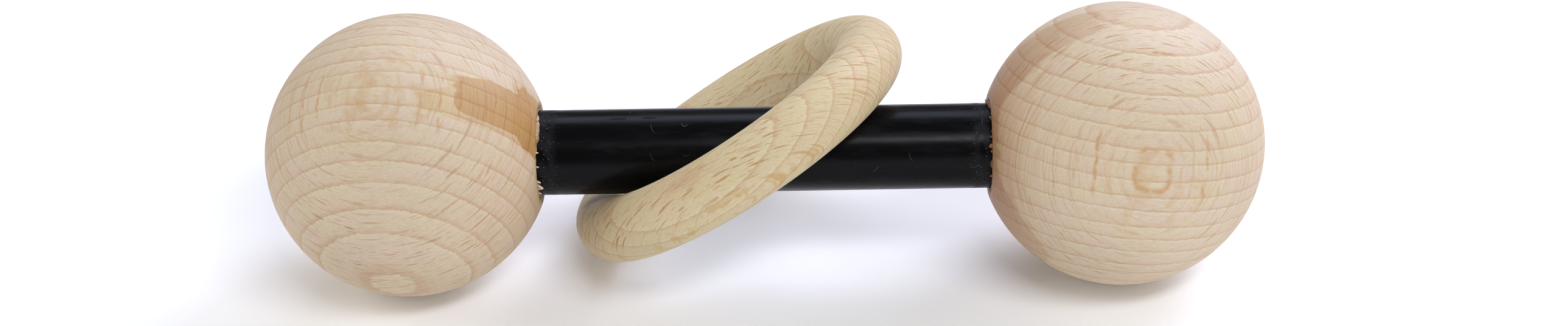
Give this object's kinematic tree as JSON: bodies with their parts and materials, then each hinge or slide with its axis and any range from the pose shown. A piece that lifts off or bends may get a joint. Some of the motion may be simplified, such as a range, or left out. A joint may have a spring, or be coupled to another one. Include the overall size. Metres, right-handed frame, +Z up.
{
  "type": "dumbbell grasping rattle",
  "caption": "Wooden baby rattle: a turned ball glued on each end of a black round rod, with a loose wooden ring threaded on the rod between them.",
  "frame": {"origin": "on the table the toy lies on, under the middle of the whole toy as it lies; the rod's axis is 8.6 mm in front of the origin and 25 mm above it", "axes": "+X along the rod, +Y to the back, on the side the leaning ring reaches out to, +Z up"},
  "size_m": [0.1752, 0.0671, 0.05],
  "materials": {
    "beech_ball": "sanded and oiled beech, reddish growth lines and flecks",
    "beech_ring": "sanded and oiled beech, paler and yellower than the balls",
    "black_lacquer": "satin black lacquer on a hardwood dowel",
    "glue": "cured amber wood glue"
  },
  "bodies": {
    "dumbbell": {"left_ball": "beech_ball", "right_ball": "beech_ball", "rod": "black_lacquer", "left_glue_joint": "glue", "right_glue_joint": "glue"},
    "loose_ring": {"ring": "beech_ring"}
  },
  "joints": [
    {"name": "ring_slide", "type": "slide", "parent": "dumbbell", "child": "loose_ring", "axis": [1, 0, 0], "range_m": [-0.0075, 0.0173]}
  ]
}
